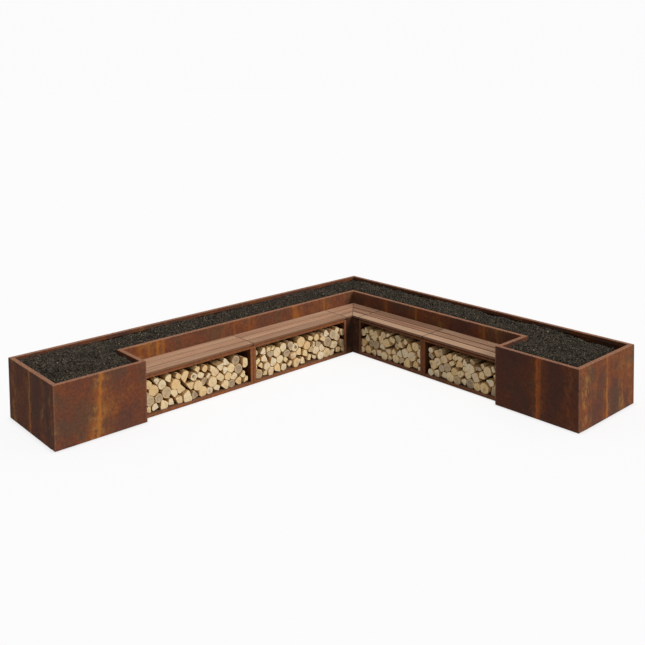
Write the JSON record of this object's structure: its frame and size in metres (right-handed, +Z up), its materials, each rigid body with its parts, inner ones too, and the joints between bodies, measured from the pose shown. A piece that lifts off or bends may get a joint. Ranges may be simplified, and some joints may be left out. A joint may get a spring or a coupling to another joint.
{
  "type": "corner bench with planter",
  "caption": "Corner bench of folded weathering steel and hardwood boards, with a planter trough behind and at both ends and open log bays under the seat.",
  "frame": {"origin": "middle of the footprint's bounding box, on the ground", "axes": "+Z up; the two arms meet at the back right: the long arm runs along the back towards -X, the short arm along the right towards -Y, and the seat faces -Y and -X"},
  "size_m": [4.7, 4, 0.6],
  "materials": {
    "weathering_steel": "matte rust patina",
    "inner_steel": "matte dark rust",
    "hardwood": "matte oiled and weathered",
    "soil": "matte loose soil",
    "firewood": "matte sawn ends and bark"
  },
  "bodies": {
    "root": {"back_panel_left_inner": "weathering_steel", "back_panel_left_outer": "weathering_steel", "end_panel_left": "weathering_steel", "front_panel_left": "weathering_steel", "return_panel_left": "weathering_steel", "backrest_left_outer": "weathering_steel", "backrest_left_inner": "weathering_steel", "backrest_right_inner": "weathering_steel", "backrest_right_outer": "weathering_steel", "return_panel_right": "weathering_steel", "front_panel_right": "weathering_steel", "end_panel_right": "weathering_steel", "back_panel_right_outer": "weathering_steel", "back_panel_right_inner": "weathering_steel", "log_bay_left_inner": "weathering_steel", "log_bay_left_outer": "weathering_steel", "log_bay_right_inner": "weathering_steel", "log_bay_right_outer": "weathering_steel", "corner_post": "weathering_steel", "floor_tray_corner": "inner_steel", "floor_tray_left_trough": "inner_steel", "floor_tray_left_end": "inner_steel", "floor_tray_right_trough": "inner_steel", "floor_tray_right_end": "inner_steel", "bulkhead_left_corner": "inner_steel", "bulkhead_left_end": "inner_steel", "bulkhead_right_corner": "inner_steel", "bulkhead_right_end": "inner_steel", "seat_frame_left_inner": "inner_steel", "seat_frame_left_outer": "inner_steel", "seat_frame_corner": "inner_steel", "seat_frame_right_inner": "inner_steel", "seat_frame_right_outer": "inner_steel", "board_left_corner_rear": "hardwood", "board_left_corner_middle": "hardwood", "board_left_corner_front": "hardwood", "board_left_inner_rear": "hardwood", "board_left_inner_middle": "hardwood", "board_left_inner_front": "hardwood", "board_left_outer_rear": "hardwood", "board_left_outer_middle": "hardwood", "board_left_outer_front": "hardwood", "board_right_corner_rear": "hardwood", "board_right_corner_middle": "hardwood", "board_right_corner_front": "hardwood", "board_right_inner_rear": "hardwood", "board_right_inner_middle": "hardwood", "board_right_inner_front": "hardwood", "board_right_outer_rear": "hardwood", "board_right_outer_middle": "hardwood", "board_right_outer_front": "hardwood", "soil_corner": "soil", "soil_left_trough": "soil", "soil_left_end": "soil", "soil_right_trough": "soil", "soil_right_end": "soil", "logs_left_inner": "firewood", "logs_left_outer": "firewood", "logs_right_inner": "firewood", "logs_right_outer": "firewood"}
  },
  "joints": []
}
